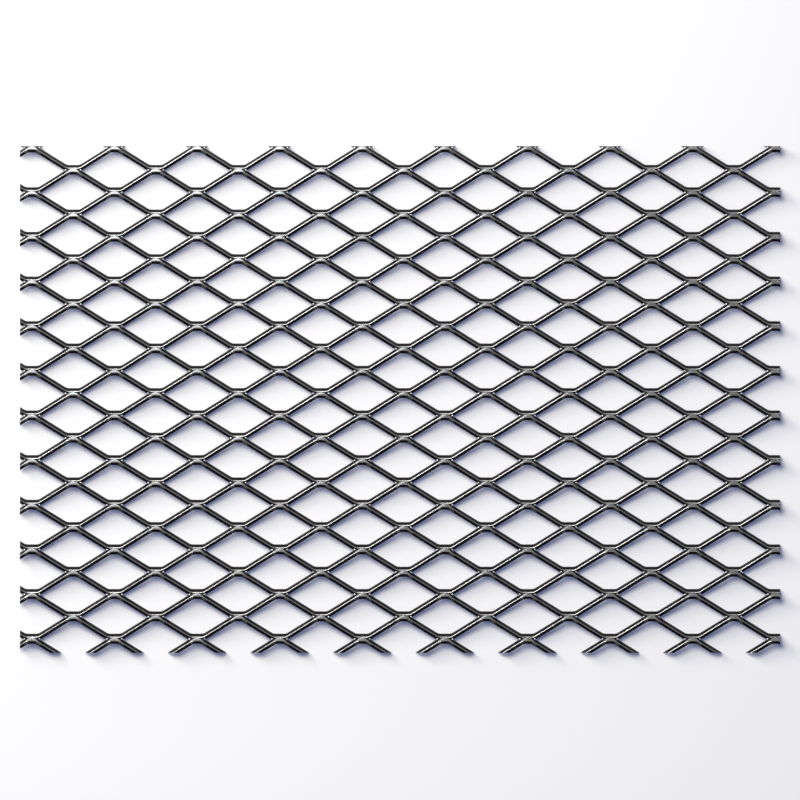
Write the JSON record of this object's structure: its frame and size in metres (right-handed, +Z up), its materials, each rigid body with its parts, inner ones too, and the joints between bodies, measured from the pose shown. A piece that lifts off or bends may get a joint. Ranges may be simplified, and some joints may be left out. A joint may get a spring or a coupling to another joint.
{
  "type": "expanded metal sheet",
  "caption": "Rectangular sheet of raised expanded steel mesh with diamond openings, sheared edges and a dark gloss finish, for guards, screens and infill.",
  "frame": {"origin": "middle of the sheet's outline, on the plane that its lowest edges rest on", "axes": "+X the long way of the mesh, +Y the short way, the way the smooth faces of the strands look, +Z up from the floor"},
  "size_m": [0.3, 0.2, 0.0069],
  "materials": {
    "dark_steel": "gloss black"
  },
  "bodies": {
    "root": {"expanded_sheet": "dark_steel"}
  },
  "joints": []
}
